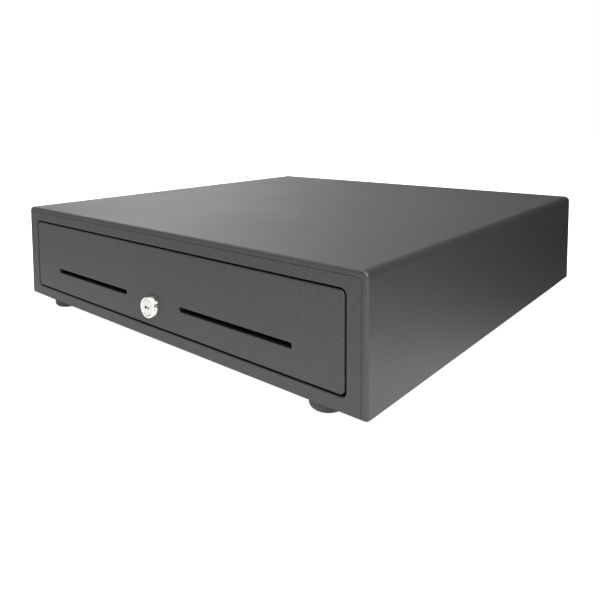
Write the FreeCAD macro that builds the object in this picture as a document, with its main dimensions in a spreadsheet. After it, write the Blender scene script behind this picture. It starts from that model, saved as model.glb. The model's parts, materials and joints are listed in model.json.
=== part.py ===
"""Cash drawer: a steel cabinet, a till drawer on telescopic slides, a key lock and a solenoid latch.

Millimetres, +Z up. X is the width and Y the depth, with the front at -Y. The origin is the middle of
the overall box, on the surface that the feet stand on. The drawer is shut, and its latch is released.
"""
import FreeCAD, Part
import math
import os
import re
from collections import namedtuple

import Sketcher

Vector = FreeCAD.Vector
Rotation = FreeCAD.Rotation

DIMENSIONS = {
    # Cabinet: the wrapped cover, the front frame, the base and the back.
    "CabinetWidth": 410.0,
    "CabinetDepth": 415.0,
    "OverallHeight": 100.0,
    "BackFace": 210.0,
    "SheetThick": 1.2,
    "CoverBend": 5.0,
    "RimWidth": 4.4,
    "RimDepth": 3.0,
    "RimRound": 2.4,
    "SeamGap": 0.3,
    "FlangeWidth": 12.0,
    "BackInset": 3.0,
    "FrameReturn": 8.0,
    "OpeningHalf": 190.0,
    "OpeningLow": 19.2,
    "OpeningTop": 87.1,
    "OpeningCorner": 4.5,
    "RibWidth": 7.0,
    "RibHeight": 1.4,
    "BraceHeight": 6.0,
    # Feet.
    "FootHeight": 10.0,
    "FootRadius": 12.2,
    "FootRound": 4.0,
    "FootSide": 164.0,
    "FootFront": 16.8,
    "FootBack": 30.0,
    # Drawer front, with its two document slots.
    "PanelGap": 1.5,
    "PanelThick": 1.6,
    "PanelReturn": 7.4,
    "PanelCorner": 3.5,
    "SlotNear": 34.5,
    "SlotFar": 148.0,
    "SlotMiddle": 41.3,
    "SlotHeight": 4.3,
    "SlotCorner": 1.9,
    "GuideWall": 2.0,
    "GuideBack": -186.0,
    # Drawer pan and the till in it.
    "PanThick": 1.0,
    "WeldGap": 0.05,
    "PanHalf": 176.0,
    "PanLow": 22.0,
    "PanTop": 79.0,
    "PanFront": -194.6,
    "PanBack": 168.0,
    "TillHalf": 173.0,
    "TillFront": -189.0,
    "TillBack": 165.0,
    "TillLow": 46.0,
    "TillTop": 82.0,
    "TillWall": 2.0,
    "WellBack": 4.0,
    "CupRound": 11.0,
    "ClipAxisBack": 152.0,
    "ClipAxisHigh": 73.0,
    "ClipDrop": 15.0,
    "ClipLength": 82.0,
    "ClipRodRadius": 2.0,
    # Telescopic slides, measured outwards from the pan's wall and up and down from their middle.
    "SlideMiddle": 50.0,
    "SlideFront": -191.0,
    "SlideLength": 350.0,
    "SlideSheet": 1.2,
    "InnerHeight": 8.5,
    "InnerReach": 7.5,
    "MiddleHeight": 13.0,
    "MiddleNear": 2.0,
    "MiddleReach": 10.5,
    "OuterHeight": 17.6,
    "OuterNear": 3.5,
    "OuterReach": 12.7,
    "BallRadius": 1.6,
    "BallOut": 5.2,
    "CageFront": -116.0,
    "CageBack": 70.0,
    "CageSheet": 0.5,
    "BracketSheet": 1.5,
    # Lock, on the middle of the drawer front.
    "LockHigh": 36.4,
    "LockProud": 5.0,
    "LockFlange": 9.8,
    "LockFace": 8.5,
    "LockBevel": 7.1,
    "LockBarrel": 8.2,
    "PlugRadius": 6.6,
    "RunningGap": 0.05,
    "RodRadius": 2.5,
    # Latch and solenoid, behind the drawer.
    "LatchHigh": 46.0,
    "LatchThick": 3.0,
    "PivotSide": 14.0,
    "PivotBack": 198.0,
    "PlungerBack": 187.0,
    "PlungerRadius": 4.0,
    "PlatformHigh": 27.0,
    "SpringSide": -70.0,
    "SpringRadius": 7.0,
    "SpringWire": 1.6,
    "SocketSide": 150.0,
    "SocketHigh": 46.0,
    "ScrewRadius": 1.5,
    "HoleGap": 0.1,
}

SIDES = {"left": -1, "right": 1}
CLIP_COUNT = 5
CUPS_ACROSS = 4

# Places that several pieces share, as formulas of the cells above.
HALF = "CabinetWidth / 2"
FRONT = "(BackFace - CabinetDepth)"
BACK_PLATE = "(BackFace - BackInset - SheetThick)"
INSIDE = "(CabinetWidth / 2 - SheetThick)"
CEILING = "(OverallHeight - SheetThick)"
FLOOR = "(FootHeight + SheetThick)"
PANEL_HALF = "(OpeningHalf - PanelGap)"
PANEL_LOW = "(OpeningLow + PanelGap)"
PANEL_TOP = "(OpeningTop - PanelGap)"
PANEL_INSIDE = "(BackFace - CabinetDepth + PanelThick)"
PAN_INSIDE = "(PanFront + PanThick)"
TILL_FLOOR = "(TillLow + TillWall)"

doc = FreeCAD.newDocument("cash_drawer")
sheet = doc.addObject("Spreadsheet::Sheet", "Dims")
for row, (alias, size) in enumerate(DIMENSIONS.items(), start=1):
    sheet.set(f"A{row}", alias)
    sheet.set(f"B{row}", str(size))
    sheet.setAlias(f"B{row}", alias)
doc.recompute()

subparts = []


# ---------------------------------------------------------------- helpers: formulas and objects


def formula(text):
    """A FreeCAD expression: every capitalised word is a cell of the sheet."""
    return re.sub(r"\b([A-Z]\w+)", r"Dims.\1", str(text))


def measure(text):
    """What a formula comes to now."""
    return float(sheet.evalExpression(formula(text)))


def bind(thing, **formulas):
    """Binds properties of an object to formulas."""
    for name, text in formulas.items():
        thing.setExpression(name, formula(text))


def place(thing, x, y, z, turn=None):
    """Puts an object at a place given by formulas, turned by a rotation if it has one."""
    if turn is not None:
        thing.Placement = FreeCAD.Placement(Vector(), turn)
    for axis, text in zip("xyz", (x, y, z)):
        thing.setExpression(f"Placement.Base.{axis}", formula(text))


def publish(node, thing):
    """Makes an object a sub-part: its label names its file."""
    thing.Label = node
    subparts.append(thing)
    return thing


# ---------------------------------------------------------------- helpers: bodies made of prisms


PLANES = {"XY": "XY_Plane", "XZ": "XZ_Plane", "YZ": "YZ_Plane"}
Rounded = namedtuple("Rounded", "x_low y_low x_high y_high radius")


def new_body(node):
    """An empty PartDesign body that is a sub-part."""
    return publish(node, doc.addObject("PartDesign::Body", node))


def pair(node, maker):
    """A left and a right solid that share one sub-part."""
    halves = []
    for side in SIDES:
        halves.append(maker(side, doc.addObject("PartDesign::Body", f"{node}_{side}")))
    return publish(node, group(node, halves))


def new_sketch(body, plane, level):
    """A sketch on one of the body's origin planes, moved along the row axis to a level."""
    sketch = body.newObject("Sketcher::SketchObject", f"{body.Name}_sketch")
    origin = next(o for o in body.Origin.OriginFeatures if o.Role == PLANES[plane])
    sketch.AttachmentSupport = [(origin, "")]
    sketch.MapMode = "FlatFace"
    # The XZ plane faces -Y, so its levels count the other way.
    sign = "-1" if plane == "XZ" else "1"
    sketch.setExpression("AttachmentOffset.Base.z", formula(f"{sign} * ({level})"))
    return sketch


def add_outline(sketch, points):
    """A closed run of straight lines, each corner bound to two formulas."""
    places = [Vector(measure(x), measure(y), 0) for x, y in points]
    first = sketch.GeometryCount
    lines = [Part.LineSegment(a, b) for a, b in zip(places, places[1:] + places[:1])]
    sketch.addGeometry(lines, False)
    count = len(points)
    joints = []
    for index in range(count):
        before = first + (index - 1) % count
        joints.append(Sketcher.Constraint("Coincident", before, 2, first + index, 1))
    sketch.addConstraint(joints)
    for index, (x, y) in enumerate(points):
        spot = places[index]
        across = Sketcher.Constraint("DistanceX", -1, 1, first + index, 1, spot.x)
        upward = Sketcher.Constraint("DistanceY", -1, 1, first + index, 1, spot.y)
        row_x, row_y = sketch.addConstraint([across, upward])
        sketch.setExpression(f"Constraints[{row_x}]", formula(x))
        sketch.setExpression(f"Constraints[{row_y}]", formula(y))


def add_circle(sketch, x, y, radius):
    """A circle whose centre and radius are bound to formulas."""
    centre = Vector(measure(x), measure(y), 0)
    index = sketch.addGeometry(Part.Circle(centre, Vector(0, 0, 1), measure(radius)), False)
    rows = sketch.addConstraint([
        Sketcher.Constraint("DistanceX", -1, 1, index, 3, centre.x),
        Sketcher.Constraint("DistanceY", -1, 1, index, 3, centre.y),
        Sketcher.Constraint("Radius", index, measure(radius)),
    ])
    for line, text in zip(rows, (x, y, radius)):
        sketch.setExpression(f"Constraints[{line}]", formula(text))


def add_rounded(sketch, loop):
    """A rectangle with round corners, its straight ends and its radius bound to formulas."""
    left, right = f"{loop.x_low} + {loop.radius}", f"{loop.x_high} - {loop.radius}"
    under, over = f"{loop.y_low} + {loop.radius}", f"{loop.y_high} - {loop.radius}"
    sides = [
        ((left, loop.y_low), (right, loop.y_low), (right, under)),
        ((loop.x_high, under), (loop.x_high, over), (right, over)),
        ((right, loop.y_high), (left, loop.y_high), (left, over)),
        ((loop.x_low, over), (loop.x_low, under), (left, under)),
    ]
    first = sketch.GeometryCount
    radius = measure(loop.radius)
    for step, (start, end, centre) in enumerate(sides):
        start, end, centre = (Vector(measure(x), measure(y), 0) for x, y in (start, end, centre))
        round_corner = Part.Circle(centre, Vector(0, 0, 1), radius)
        angle = (step - 1) * math.pi / 2
        arc = Part.ArcOfCircle(round_corner, angle, angle + math.pi / 2)
        sketch.addGeometry([Part.LineSegment(start, end), arc], False)
    for step, (start, end, _) in enumerate(sides):
        line, arc = first + 2 * step, first + 2 * step + 1
        after = first + (2 * step + 2) % 8
        sketch.addConstraint([
            Sketcher.Constraint("Coincident", line, 2, arc, 1),
            Sketcher.Constraint("Coincident", arc, 2, after, 1),
        ])
        rows = []
        texts = []
        for point, spot in ((1, start), (2, end)):
            for kind, text in zip(("DistanceX", "DistanceY"), spot):
                texts.append(text)
                rows.append(Sketcher.Constraint(kind, -1, 1, line, point, measure(text)))
        rows.append(Sketcher.Constraint("Radius", arc, radius))
        texts.append(loop.radius)
        for row_number, text in zip(sketch.addConstraint(rows), texts):
            sketch.setExpression(f"Constraints[{row_number}]", formula(text))


def draw(sketch, loops):
    """Draws loops: a list of corners is an outline, and a tuple of three is a circle."""
    for loop in loops:
        if isinstance(loop, Rounded):
            add_rounded(sketch, loop)
        elif isinstance(loop, tuple):
            add_circle(sketch, *loop)
        else:
            add_outline(sketch, loop)


def prism(body, plane, near, far, *loops):
    """Adds the loops to the body as a solid, from the level near to the level far."""
    sketch = new_sketch(body, plane, far if plane == "XZ" else near)
    draw(sketch, loops)
    pad = body.newObject("PartDesign::Pad", f"{body.Name}_pad")
    pad.Profile = sketch
    bind(pad, Length=f"({far}) - ({near})")
    return pad


def hollow(body, plane, near, far, *loops):
    """Cuts the loops out of the body, from the level near to the level far."""
    sketch = new_sketch(body, plane, near if plane == "XZ" else far)
    draw(sketch, loops)
    pocket = body.newObject("PartDesign::Pocket", f"{body.Name}_pocket")
    pocket.Profile = sketch
    bind(pocket, Length=f"({far}) - ({near})")
    return pocket


def rectangle(x_low, y_low, x_high, y_high):
    """The corners of a rectangle."""
    return [(x_low, y_low), (x_high, y_low), (x_high, y_high), (x_low, y_high)]


def arch(half, foot, top, width):
    """An upside-down U of one width, open at the bottom."""
    inner, under = f"({half}) - ({width})", f"({top}) - ({width})"
    return [
        (f"-({half})", foot), (f"-({half})", top), (half, top), (half, foot),
        (inner, foot), (inner, under), (f"-({inner})", under), (f"-({inner})", foot),
    ]


def spin(body, points):
    """Turns a profile of (radius, y) corners about the body's own Y axis."""
    sketch = new_sketch(body, "XY", "0")
    add_outline(sketch, points)
    turned = body.newObject("PartDesign::Revolution", f"{body.Name}_revolution")
    turned.Profile = sketch
    turned.ReferenceAxis = (sketch, ["V_Axis"])
    turned.Angle = 360.0
    return turned


def along(edge, axis):
    """Whether a straight edge runs along a row axis."""
    if not isinstance(edge.Curve, (Part.Line, Part.LineSegment)):
        return False
    return abs(abs(edge.tangentAt(edge.FirstParameter).dot(axis)) - 1) < 1e-6


def round_edges(body, radius, test):
    """Rounds the edges of the body so far that pass a test."""
    doc.recompute()
    base = body.Tip
    names = [f"Edge{i}" for i, edge in enumerate(base.Shape.Edges, start=1) if test(edge)]
    fillet = body.newObject("PartDesign::Fillet", f"{body.Name}_fillet")
    fillet.Base = (base, names)
    bind(fillet, Radius=radius)
    return fillet


def near_line(edge, axis, **spots):
    """Whether an edge runs along an axis through given coordinates, such as x=5, z=2."""
    centre = edge.CenterOfMass
    close = all(abs(getattr(centre, name) - spot) < 0.02 for name, spot in spots.items())
    return along(edge, axis) and close


X, Y, Z = Vector(1, 0, 0), Vector(0, 1, 0), Vector(0, 0, 1)


# ---------------------------------------------------------------- helpers: plain solids


def block(name, low, high):
    """A box between two corners given by formulas."""
    box = doc.addObject("Part::Box", name)
    sizes = [f"({b}) - ({a})" for a, b in zip(low, high)]
    bind(box, Length=sizes[0], Width=sizes[1], Height=sizes[2])
    place(box, *low)
    return box


TURNS = {
    "+Z": Rotation(),
    "-Z": Rotation(X, 180),
    "+X": Rotation(Y, 90),
    "-X": Rotation(Y, -90),
    "+Y": Rotation(X, -90),
    "-Y": Rotation(X, 90),
}


def rod(name, start, way, radius, length):
    """A cylinder from a place given by formulas, along a row axis."""
    cylinder = doc.addObject("Part::Cylinder", name)
    bind(cylinder, Radius=radius, Height=length)
    place(cylinder, *start, turn=TURNS[way])
    return cylinder


def cone(name, start, way, foot, top, length):
    """A cone from a place given by formulas, along a row axis."""
    thing = doc.addObject("Part::Cone", name)
    bind(thing, Radius1=foot, Radius2=top, Height=length)
    place(thing, *start, turn=TURNS[way])
    return thing


def fuse(name, things):
    """One solid out of several that meet."""
    joined = doc.addObject("Part::MultiFuse", name)
    joined.Shapes = things
    joined.Refine = True
    return joined


def cut(name, base, tool):
    """A solid less another."""
    left = doc.addObject("Part::Cut", name)
    left.Base = base
    left.Tool = tool
    return left


def group(name, things):
    """Several solids that stay apart, as one object."""
    gathered = doc.addObject("Part::Compound", name)
    gathered.Links = things
    return gathered


def moved(place_text, way, distance):
    """A place moved along a row axis by a formula."""
    sign, axis = way[0], "XYZ".index(way[1])
    spot = list(place_text)
    spot[axis] = f"({spot[axis]}) {sign} ({distance})"
    return tuple(spot)


def screw(name, seat, way, radius, head, height, length):
    """A pan-head screw: its head stands on the seat, and its shank goes the other way."""
    back = {"+": "-", "-": "+"}[way[0]] + way[1]
    cap = cone(f"{name}_head", seat, way, head, f"({head}) * 0.8", height)
    shank = rod(f"{name}_shank", seat, back, radius, length)
    solid = fuse(f"{name}_solid", [cap, shank])
    recess = block_across(f"{name}_recess", moved(seat, way, f"({height}) * 0.4"), way, head, height)
    return cut(name, solid, recess)


def block_across(name, middle, way, head, height):
    """The tool for a straight recess in a screw's head."""
    wide, slim = f"({head}) * 0.55", f"({head}) * 0.11"
    half = {"X": ("0", wide, slim), "Y": (wide, "0", slim), "Z": (wide, slim, "0")}[way[1]]
    low = [f"({m}) - ({s})" for m, s in zip(middle, half)]
    high = [f"({m}) + ({s})" for m, s in zip(middle, half)]
    axis = "XYZ".index(way[1])
    if way[0] == "+":
        high[axis] = f"({middle[axis]}) + ({height})"
    else:
        low[axis] = f"({middle[axis]}) - ({height})"
    return block(name, low, high)


WIRE_SIDES = 12


def coil(name, start, way, radius, wire, pitch, turns):
    """A coil spring wound along a row axis from its start, its round wire drawn with twelve flats."""
    helix = doc.addObject("Part::Helix", f"{name}_helix")
    bind(helix, Radius=radius, Pitch=pitch, Height=f"({pitch}) * ({turns})")
    helix.SegmentLength = 0
    place(helix, *start, turn=TURNS[way])
    section = doc.addObject("Part::RegularPolygon", f"{name}_section")
    section.Polygon = WIRE_SIDES
    bind(section, Circumradius=f"1.02 * ({wire}) / 2")
    section.Placement = FreeCAD.Placement(Vector(), TURNS[way] * Rotation(X, 90))
    ahead = TURNS[way].multVec(X)
    for axis, text, step in zip("xyz", start, ahead):
        section.setExpression(f"Placement.Base.{axis}", formula(f"({text}) + {step:.0f} * ({radius})"))
    sweep = doc.addObject("Part::Sweep", name)
    sweep.Sections = [section]
    sweep.Spine = (helix, [])
    sweep.Solid = True
    sweep.Frenet = True
    return sweep


# ---------------------------------------------------------------- cabinet


def make_outer_cover():
    """The wrapped top and sides, with a rolled rim in front and flanges below and behind."""
    body = new_body("outer_cover")
    half, top = measure(HALF), measure("OverallHeight")
    prism(body, "XZ", FRONT, "BackFace", arch(HALF, "FootHeight", "OverallHeight", "SheetThick"))
    round_edges(body, "CoverBend - SheetThick", lambda e: near_line(e, Y, z=measure(CEILING)))
    rim = arch(HALF, "FootHeight", "OverallHeight", "RimWidth")
    prism(body, "XZ", FRONT, f"{FRONT} + RimDepth", rim)
    rim_top = top - measure("RimWidth")
    round_edges(body, "CoverBend / 2", lambda e: near_line(e, Y, z=rim_top))
    flange = arch(INSIDE, f"{FLOOR} + SheetThick", CEILING, "FlangeWidth")
    prism(body, "XZ", f"{BACK_PLATE} - SheetThick", BACK_PLATE, flange)
    for sign in SIDES.values():
        outer, inner = f"{sign} * {INSIDE}", f"{sign} * ({INSIDE} - FlangeWidth)"
        low, high = (outer, inner) if sign < 0 else (inner, outer)
        lip = rectangle(low, f"{FRONT} + RimDepth + 6", high, f"{BACK_PLATE} - SheetThick - 6")
        prism(body, "XY", FLOOR, f"{FLOOR} + SheetThick", lip)
    round_edges(body, "CoverBend", lambda e: near_line(e, Y, z=top))
    front = measure(FRONT)

    def on_front_edge(edge):
        box = edge.BoundBox
        flat = abs(box.YMin - front) < 0.02 and abs(box.YMax - front) < 0.02
        outside = max(abs(box.XMin), abs(box.XMax)) > half - 0.02 or box.ZMax > top - 0.02
        bottom = box.ZMax < measure("FootHeight") + 0.02
        return flat and outside and not bottom

    round_edges(body, "RimRound", on_front_edge)
    holes = [(side, high, "ScrewRadius + HoleGap") for side, high in SIDE_SCREWS]
    hollow(body, "XZ", f"{BACK_PLATE} - SheetThick - 1", f"{BACK_PLATE} + 1", *holes)


SIDE_SCREWS = [
    (f"{sign} * ({INSIDE} - FlangeWidth / 2)", high) for sign in SIDES.values() for high in ("28", "74")
] + [(f"{sign} * 95", f"{CEILING} - FlangeWidth / 2") for sign in SIDES.values()]

FOOT_SPOTS = [
    (f"{sign} * FootSide", depth)
    for sign in SIDES.values()
    for depth in (f"{FRONT} + FootFront", "BackFace - FootBack")
]


def make_base_pan():
    """The flat base, with pressed ribs and low flanges in front and behind."""
    body = new_body("base_pan")
    edge = "SeamGap"
    plate = rectangle(
        f"-({HALF} - RimWidth - {edge})", f"{FRONT} + SheetThick + {edge}",
        f"{HALF} - RimWidth - {edge}", f"{BACK_PLATE} - {edge}",
    )
    prism(body, "XY", "FootHeight", FLOOR, plate)
    inner = f"({INSIDE} - FlangeWidth - 1)"
    low_flange = rectangle(f"-{inner}", FLOOR, inner, f"{FLOOR} + 6")
    prism(body, "XZ", f"{FRONT} + SheetThick + {edge}", f"{FRONT} + 2 * SheetThick + {edge}", low_flange)
    tall_flange = rectangle(f"-{inner}", FLOOR, inner, f"{FLOOR} + 14")
    prism(body, "XZ", f"{BACK_PLATE} - {edge} - SheetThick", f"{BACK_PLATE} - {edge}", tall_flange)
    for middle in (-110, -55, 0, 55, 110):
        rib = rectangle(f"{middle} - RibWidth / 2", "-170", f"{middle} + RibWidth / 2", "150")
        prism(body, "XY", FLOOR, f"{FLOOR} + RibHeight", rib)
    spots = [(x, y, "2 + HoleGap") for x, y in FOOT_SPOTS + BRACKET_SPOTS]
    spots += [(x, y, "ScrewRadius + HoleGap") for x, y in PLATFORM_SPOTS]
    hollow(body, "XY", "FootHeight - 1", f"{FLOOR} + 1", *spots)
    backs = [(x, z, "ScrewRadius + HoleGap") for x, z in BASE_SCREWS]
    hollow(body, "XZ", f"{BACK_PLATE} - {edge} - SheetThick - 1", BACK_PLATE, *backs)


BRACKET_SPOTS = [
    (f"{sign} * (PanHalf + 5)", depth) for sign in SIDES.values() for depth in ("-150", "-20", "130")
]
PLATFORM_SPOTS = [(x, y) for x in ("-23", "94") for y in ("178", "196")]


def make_front_frame():
    """The plate round the drawer, with its edge returned inwards."""
    body = new_body("front_frame")
    outer_half = f"({HALF} - RimWidth - SeamGap)"
    outer_top = "(OverallHeight - RimWidth - SeamGap)"
    plate = rectangle(f"-{outer_half}", "FootHeight", outer_half, outer_top)
    prism(body, "XZ", FRONT, f"{FRONT} + SheetThick", plate)
    corner_top = measure(outer_top)
    round_edges(body, "CoverBend / 2 - SeamGap", lambda e: near_line(e, Y, z=corner_top))
    collar = Rounded(
        "-OpeningHalf - SheetThick", "OpeningLow - SheetThick",
        "OpeningHalf + SheetThick", "OpeningTop + SheetThick", "(OpeningCorner + SheetThick)",
    )
    prism(body, "XZ", f"{FRONT} + SheetThick", f"{FRONT} + SheetThick + FrameReturn", collar)
    opening = Rounded("-OpeningHalf", "OpeningLow", "OpeningHalf", "OpeningTop", "OpeningCorner")
    hollow(body, "XZ", f"{FRONT} - 1", f"{FRONT} + SheetThick + FrameReturn + 1", opening)
    half, front = measure("OpeningHalf"), measure(FRONT)
    low, high = measure("OpeningLow"), measure("OpeningTop")

    def opening_edge(edge):
        box = edge.BoundBox
        flat = abs(box.YMin - front) < 0.02 and abs(box.YMax - front) < 0.02
        across = max(abs(box.XMin), abs(box.XMax)) < half + 0.02
        return flat and across and box.ZMax < high + 0.02 and box.ZMin > low - 0.02

    round_edges(body, "0.6", opening_edge)


def make_back_panel():
    """The inset back, with the socket's cut-out and two knocked-in cable notches."""
    body = new_body("back_panel")
    half, top = f"({INSIDE} - SeamGap)", f"({CEILING} - SeamGap)"
    plate = rectangle(f"-{half}", "FootHeight", half, top)
    prism(body, "XZ", BACK_PLATE, f"{BACK_PLATE} + SheetThick", plate)
    corner_half = measure(half)
    round_edges(
        body, "CoverBend - SheetThick + 0.5",
        lambda e: along(e, Y) and e.CenterOfMass.z > 60 and abs(abs(e.CenterOfMass.x) - corner_half) < 0.02,
    )
    window = rectangle("SocketSide - 6.8", "SocketHigh - 6.8", "SocketSide + 6.8", "SocketHigh + 6.8")
    holes = [(x, z, "ScrewRadius + HoleGap") for x, z in SIDE_SCREWS + BASE_SCREWS]
    hollow(body, "XZ", f"{BACK_PLATE} - 1", f"{BACK_PLATE} + SheetThick + 1", window, *holes)
    for side in (-150, -120):
        slot = rectangle(f"{side} - 8", "SocketHigh - 3", f"{side} + 8", "SocketHigh + 3")
        hollow(body, "XZ", f"{BACK_PLATE} - 1", f"{BACK_PLATE} + SheetThick + 1", slot)


BASE_SCREWS = [(side, f"{FLOOR} + 7") for side in ("-120", "0", "120")]


def make_top_brace():
    """A hat-shaped stiffener across the cabinet, under the top."""
    body = new_body("top_brace")
    low, high = f"({CEILING} - BraceHeight)", CEILING
    thick = "SheetThick"
    hat = [
        ("-56", high), ("-56", f"{high} - {thick}"), ("-47", f"{high} - {thick}"), ("-44", low),
        ("-26", low), ("-23", f"{high} - {thick}"), ("-14", f"{high} - {thick}"), ("-14", high),
        ("-24.5", high), ("-27", f"{low} + {thick}"), ("-43", f"{low} + {thick}"), ("-45.5", high),
    ]
    prism(body, "YZ", f"-({INSIDE} - 6)", f"{INSIDE} - 6", hat)


def make_feet():
    """Four round rubber feet with domed soles, each with a deep seat for its screw."""
    feet = []
    for index, (x, y) in enumerate(FOOT_SPOTS):
        foot = doc.addObject("PartDesign::Body", f"foot_{index}")
        prism(foot, "XY", "0", "FootHeight", (x, y, "FootRadius"))
        round_edges(foot, "FootRound", lambda edge: edge.BoundBox.ZMax < 0.02)
        hollow(foot, "XY", "-1", "5", (x, y, "4.5"))
        hollow(foot, "XY", "4", "FootHeight + 1", (x, y, "2 + HoleGap"))
        feet.append(foot)
    publish("feet", group("feet", feet))


def hexagon(name, x, y, low, across, height, bore):
    """A hexagon nut on a vertical axis."""
    prism_of_six = doc.addObject("Part::Prism", f"{name}_hexagon")
    prism_of_six.Polygon = 6
    bind(prism_of_six, Circumradius=f"({across}) / 1.732", Height=height)
    place(prism_of_six, x, y, low)
    hole = rod(f"{name}_hole", (x, y, f"({low}) - 1"), "+Z", bore, f"({height}) + 2")
    return cut(name, prism_of_six, hole)


def make_foot_fasteners():
    """The feet's screws, from below, and their nuts on the base."""
    screws, nuts = [], []
    for index, (x, y) in enumerate(FOOT_SPOTS):
        screws.append(screw(f"foot_screw_{index}", (x, y, "5"), "-Z", "2", "3.8", "2.4", "FootHeight"))
        nuts.append(hexagon(f"foot_nut_{index}", x, y, FLOOR, "7", "3.2", "2 + RunningGap"))
    publish("foot_screws", group("foot_screws", screws))
    publish("foot_nuts", group("foot_nuts", nuts))


def make_cabinet_screws():
    """The back panel's screws, and those that hold the slide brackets and the latch platform."""
    small = []
    for index, (x, z) in enumerate(SIDE_SCREWS + BASE_SCREWS):
        seat = (x, f"{BACK_PLATE} + SheetThick", z)
        small.append(screw(f"back_screw_{index}", seat, "+Y", "ScrewRadius", "2.8", "1.8", "5"))
    feet = []
    for index, (x, y) in enumerate(BRACKET_SPOTS):
        seat = (x, y, f"{FLOOR} + BracketSheet")
        feet.append(screw(f"slide_screw_{index}", seat, "+Z", "2", "3.6", "2.2", "4"))
    publish("slide_screws", group("slide_screws", feet))
    for index, (x, y) in enumerate(PLATFORM_SPOTS):
        seat = (x, y, f"{FLOOR} + BracketSheet")
        small.append(screw(f"platform_screw_{index}", seat, "+Z", "ScrewRadius", "2.8", "1.8", "5"))
    publish("small_screws", group("small_screws", small))


def make_bumpers():
    """Two rubber stops on posts behind the drawer."""
    posts, rubbers = [], []
    for index, side in enumerate(("-125", "105")):
        start = (side, "PanBack + 4", "SlideMiddle")
        rubbers.append(rod(f"bumper_{index}", (side, "PanBack + 0.6", "SlideMiddle"), "+Y", "6", "3.4"))
        posts.append(rod(f"post_{index}", start, "+Y", "3.5", f"{BACK_PLATE} - PanBack - 4"))
    publish("bumpers", group("bumpers", rubbers))
    publish("bumper_posts", group("bumper_posts", posts))


# ---------------------------------------------------------------- slides


def slide_wall(side):
    """Makes the formula for a distance out from the pan's wall on one side."""
    return lambda out: f"{SIDES[side]} * (PanHalf + {out})"


def channel(node, side, near, reach, height, web_at_reach, front, back):
    """A slide member: a web with a flange above and below it, all along Y."""
    out = slide_wall(side)
    body = new_body(f"{node}_{side}")
    web_low, web_high = (f"{reach} - SlideSheet", reach) if web_at_reach else (near, f"{near} + SlideSheet")
    middle = "SlideMiddle"
    pieces = [
        (web_low, web_high, f"-({height})", height),
        (near, reach, height, f"{height} - SlideSheet"),
        (near, reach, f"-({height}) + SlideSheet", f"-({height})"),
    ]
    for first, second, high, low in pieces:
        a, b = sorted((out(f"({first})"), out(f"({second})")), key=measure)
        c, d = sorted((f"{middle} + {high}", f"{middle} + {low}"), key=measure)
        prism(body, "XZ", front, back, rectangle(a, c, b, d))
    return body


def make_slides(side):
    """The three channels of one telescopic slide."""
    back = "SlideFront + SlideLength"
    out = slide_wall(side)
    inner = channel("slide_inner", side, "0", "InnerReach", "InnerHeight", False, "SlideFront", back)
    holes = [(y, "SlideMiddle", "ScrewRadius + HoleGap") for y in RIVET_SPOTS]
    low, high = sorted((out("(-1)"), out("(SlideSheet + 1)")), key=measure)
    hollow(inner, "YZ", low, high, *holes)
    channel("slide_middle", side, "MiddleNear", "MiddleReach", "MiddleHeight", True, "SlideFront", back)
    channel("slide_outer", side, "OuterNear", "OuterReach", "OuterHeight", True, "SlideFront", back)


RIVET_SPOTS = ("-170", "-60", "50", "145")
BALL_COUNT = 7


def make_cage(which, side, height, web_out):
    """A steel cage, open towards the drawer, and the balls that it carries in its two legs."""
    out = slide_wall(side)
    name = f"{which}_cage_{side}"
    half = "CageSheet / 2"
    body = doc.addObject("PartDesign::Body", name)
    tip, under, back = out("(BallOut - 2.6)"), out(f"({web_out} - {half})"), out(f"({web_out} + {half})")
    profile = []
    for sign in ("-1", "1"):
        outer = f"SlideMiddle + {sign} * ({height} + {half})"
        inner = f"SlideMiddle + {sign} * ({height} - {half})"
        profile.append([(back, outer), (tip, outer), (tip, inner), (under, inner)])
    prism(body, "XZ", "CageFront", "CageBack", profile[0] + profile[1][::-1])
    spots = []
    for index in range(BALL_COUNT):
        share = (index + 0.5) / BALL_COUNT
        spots.append(f"CageFront + (CageBack - CageFront) * {share:.4f}")
    low, high = f"SlideMiddle - {height} - 1", f"SlideMiddle + {height} + 1"
    hollow(body, "XY", low, high, *[(out("BallOut"), y, "BallRadius + HoleGap") for y in spots])
    solids = [body]
    for level in (height, f"-{height}"):
        for y in spots:
            ball = doc.addObject("Part::Sphere", f"{name}_ball")
            bind(ball, Radius="BallRadius")
            place(ball, out("BallOut"), y, f"SlideMiddle + {level}")
            solids.append(ball)
    return solids


def make_cages():
    """The cages between the inner and middle members, and those between the middle and outer ones."""
    inner_height = "((InnerHeight + MiddleHeight - SlideSheet) / 2)"
    outer_height = "((MiddleHeight + OuterHeight - SlideSheet) / 2)"
    inner_web = "((InnerReach + MiddleReach - SlideSheet) / 2)"
    outer_web = "((MiddleReach + OuterReach - SlideSheet) / 2)"
    for which, height, web in (("inner", inner_height, inner_web), ("outer", outer_height, outer_web)):
        solids = [solid for side in SIDES for solid in make_cage(which, side, height, web)]
        publish(f"{which}_ball_cages", group(f"{which}_ball_cages", solids))


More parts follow.
